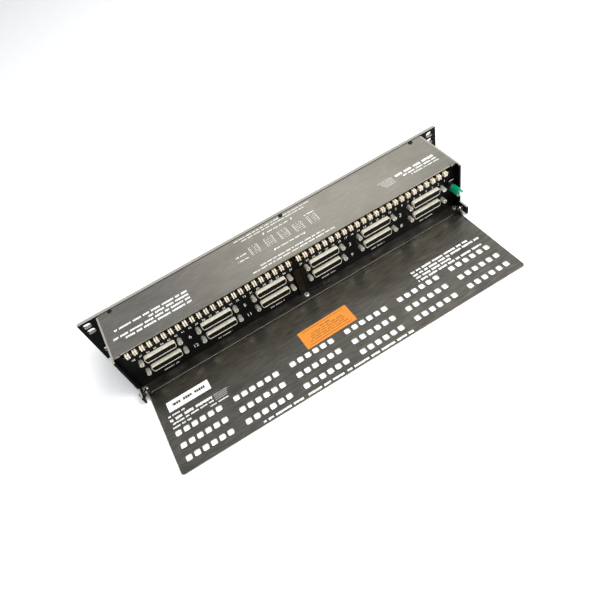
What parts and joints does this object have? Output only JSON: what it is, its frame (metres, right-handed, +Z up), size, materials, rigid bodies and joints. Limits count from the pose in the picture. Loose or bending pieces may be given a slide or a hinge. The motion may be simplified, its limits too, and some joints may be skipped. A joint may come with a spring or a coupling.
{
  "type": "audio patch bay",
  "caption": "Rack-mounting audio patch bay, its panel of miniature jack sockets in front, D-sub connectors, jumper blocks and a ground post behind, and a hinged perforated cable tray.",
  "frame": {"origin": "centre of the footprint, on the surface that the unit rests on, with the tray down", "axes": "+X along the panel to the right of somebody facing its front, +Y to the rear, +Z up"},
  "size_m": [0.4826, 0.2016, 0.0665],
  "materials": {
    "black_panel": "satin black anodised",
    "rib_black": "gloss black",
    "brushed_cover": "brushed along its length",
    "brushed_tray": "brushed along its length",
    "rail_metal": "mill finish",
    "dark_screw": "black oxide",
    "bright_fastener": "nickel plated",
    "sleeve_nickel": "nickel plated",
    "jack_frame": "tin plated",
    "jack_insulation": "phenolic",
    "spring_metal": "spring temper",
    "channel_black": "extruded",
    "paper": "card",
    "window_clear": "clear plastic",
    "board_green": "solder mask",
    "board_black": "black solder mask",
    "moulding_black": "moulded",
    "gold": "gold flash",
    "shunt_ivory": "moulded",
    "shell_nickel": "bright nickel",
    "post_black": "moulded",
    "post_metal": "nickel plated",
    "post_green": "moulded",
    "label_orange": "printed film",
    "label_white": "printed film"
  },
  "bodies": {
    "chassis": {"board_links": "moulding_black", "board_screws": "bright_fastener", "board_spacers": "rail_metal", "bottom_plate": "brushed_tray", "bottom_rail": "rail_metal", "centre_rib": "rib_black", "cover_screws": "dark_screw", "designation_channel_lower": "channel_black", "designation_channel_upper": "channel_black", "designation_papers": "paper", "designation_windows": "window_clear", "dsub_contacts_lower": "gold", "dsub_contacts_upper": "gold", "dsub_insulators_lower": "moulding_black", "dsub_insulators_upper": "moulding_black", "dsub_shells_lower": "shell_nickel", "dsub_shells_upper": "shell_nickel", "end_plate_left": "black_panel", "end_plate_right": "black_panel", "end_screws": "dark_screw", "front_panel": "black_panel", "ground_lug": "spring_metal", "header_bases": "moulding_black", "header_pins": "gold", "jack_board": "board_green", "jack_frames_lower": "jack_frame", "jack_frames_upper": "jack_frame", "jack_sleeves_lower": "sleeve_nickel", "jack_sleeves_upper": "sleeve_nickel", "jack_springs_lower": "spring_metal", "jack_springs_upper": "spring_metal", "jack_stacks_lower": "jack_insulation", "jack_stacks_upper": "jack_insulation", "jack_terminals_lower": "spring_metal", "jack_terminals_upper": "spring_metal", "jackscrew_nuts": "bright_fastener", "jackscrews": "bright_fastener", "lip_rivets": "bright_fastener", "panel_screws": "dark_screw", "pivot_nuts": "dark_screw", "pivot_screws": "dark_screw", "pivot_spacers": "dark_screw", "post_base": "post_black", "post_nut": "post_metal", "post_stud": "post_metal", "rear_board": "board_black", "rear_panel": "black_panel", "shunts_left": "shunt_ivory", "shunts_middle": "shunt_ivory", "top_cover": "brushed_cover", "top_rail": "rail_metal"},
    "tray": {"cable_tray": "brushed_tray", "notice_label": "label_orange", "type_label": "label_white"},
    "post_washer_body": {"post_washer": "post_metal"},
    "post_knob_body": {"post_knob": "post_green"},
    "sample_shunt_body": {"sample_shunt": "shunt_ivory"}
  },
  "joints": [
    {"name": "tray_hinge", "type": "hinge", "parent": "chassis", "child": "tray", "pos_m": [0, -0.01042, 0.0074], "axis": [1, 0, 0], "range_deg": [0, 90]},
    {"name": "post_travel", "type": "slide", "parent": "chassis", "child": "post_washer_body", "axis": [0, 1, 0], "range_m": [0, 0.0024]},
    {"name": "post_turn", "type": "hinge", "parent": "post_washer_body", "child": "post_knob_body", "pos_m": [-0.2106, -0.01302, 0.0349], "axis": [0, 1, 0], "range_deg": [0, 1090]},
    {"name": "shunt_pull", "type": "slide", "parent": "chassis", "child": "sample_shunt_body", "axis": [0, 1, 0], "range_m": [0, 0.008]}
  ],
  "couplings": [
    {"joint": "post_turn", "follows": "post_travel", "rad_per_m": 7915.8}
  ]
}
